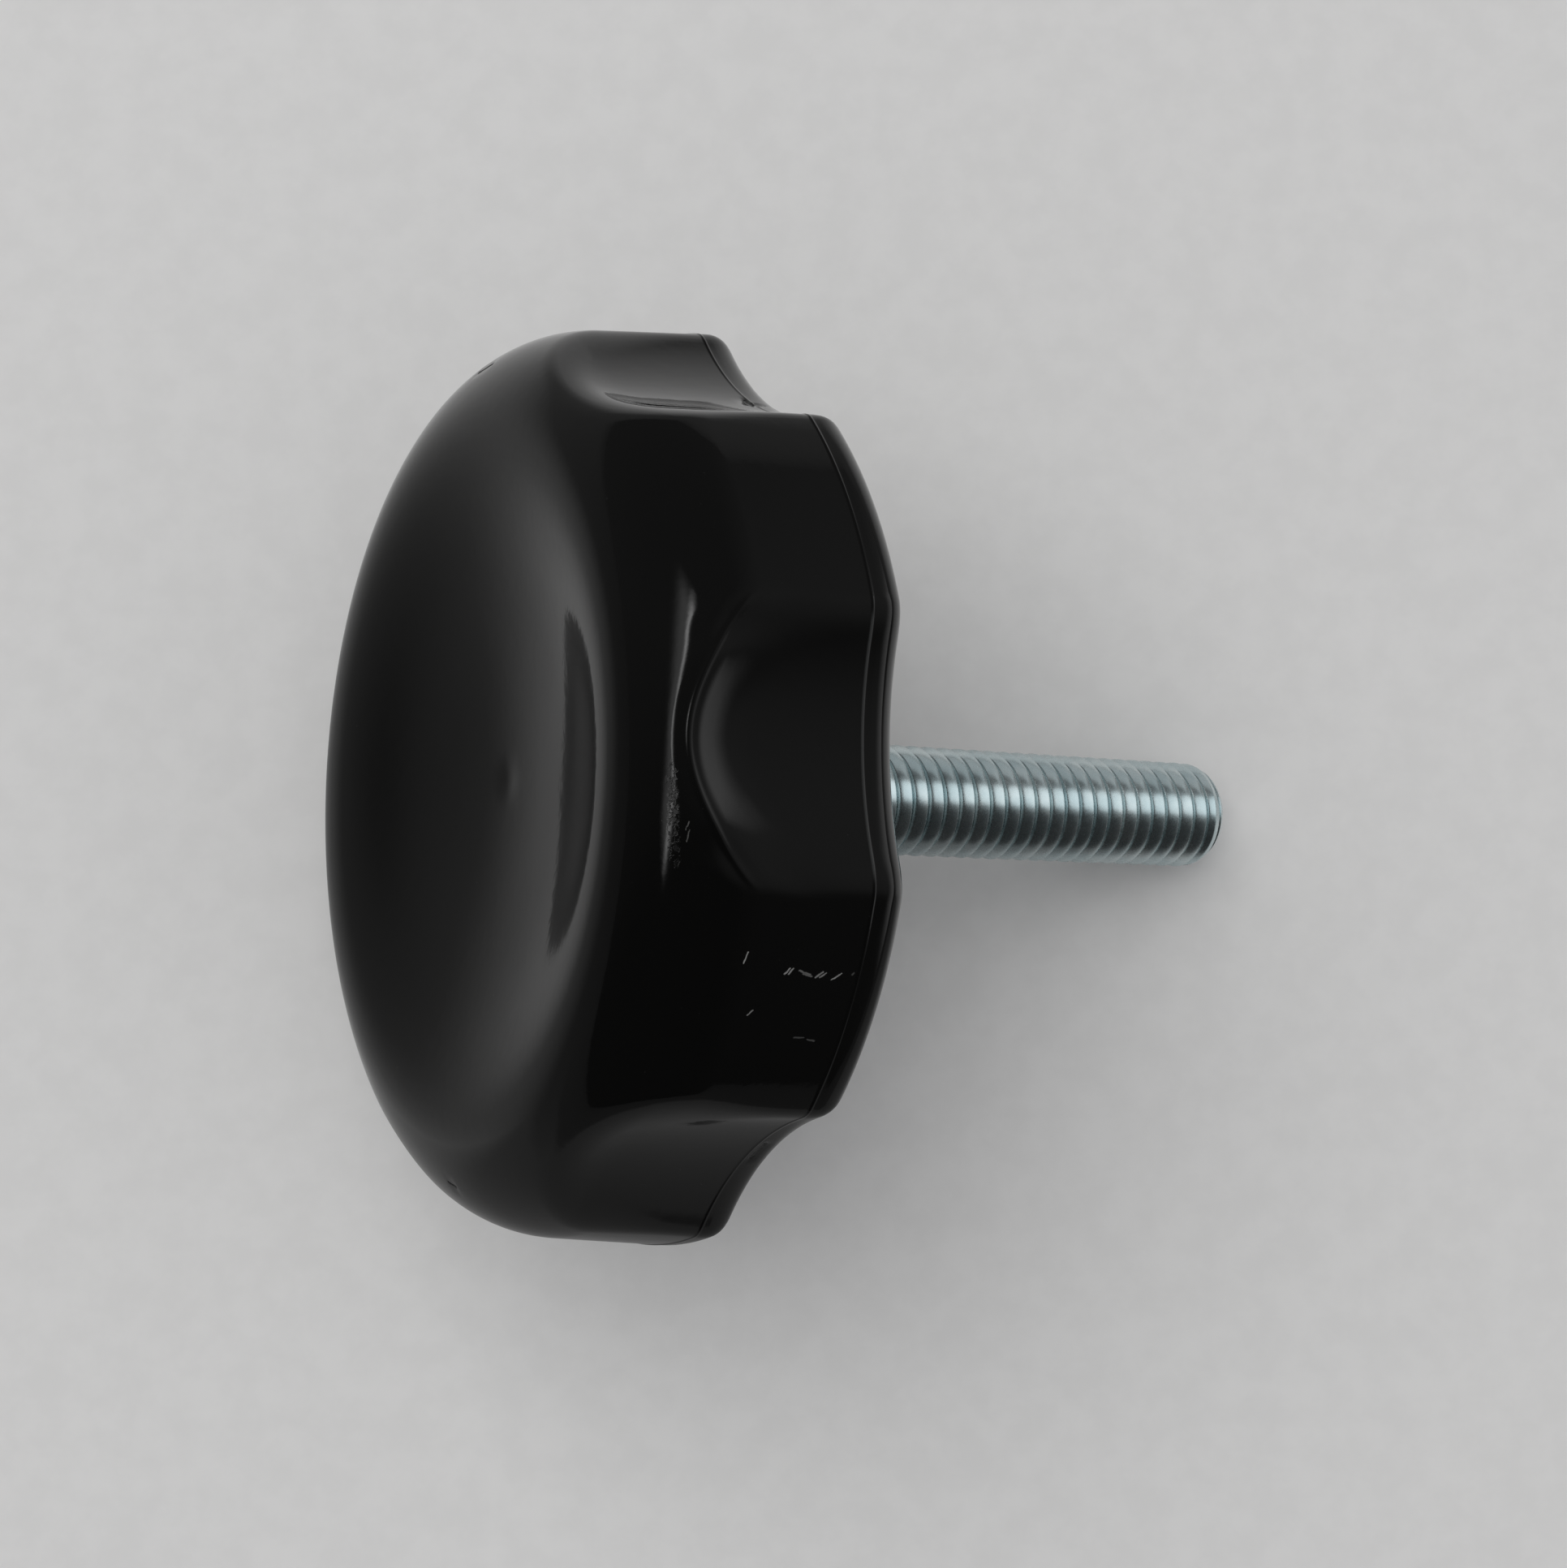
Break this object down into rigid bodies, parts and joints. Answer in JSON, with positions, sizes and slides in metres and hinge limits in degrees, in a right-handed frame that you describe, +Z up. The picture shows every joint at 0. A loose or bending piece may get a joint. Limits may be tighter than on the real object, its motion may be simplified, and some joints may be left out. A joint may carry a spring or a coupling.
{
  "type": "fluted clamping knob",
  "caption": "Fluted round hand knob with a dished front, moulded in glossy black plastic around a zinc-plated threaded steel stud, for clamping by hand.",
  "frame": {"origin": "on the resting surface, under the middle of the part's box", "axes": "+Z up from the surface that the knob lies on, +X towards the stud's tip as seen from above, the knob's own axis in the XZ plane"},
  "size_m": [0.0804, 0.073, 0.0673],
  "materials": {
    "black_moulding": "glossy black moulded thermoset with light scratches",
    "zinc_plated_steel": "bright zinc plate, faintly blue"
  },
  "bodies": {
    "root": {"knob_body": "black_moulding", "threaded_stud": "zinc_plated_steel"}
  },
  "joints": []
}
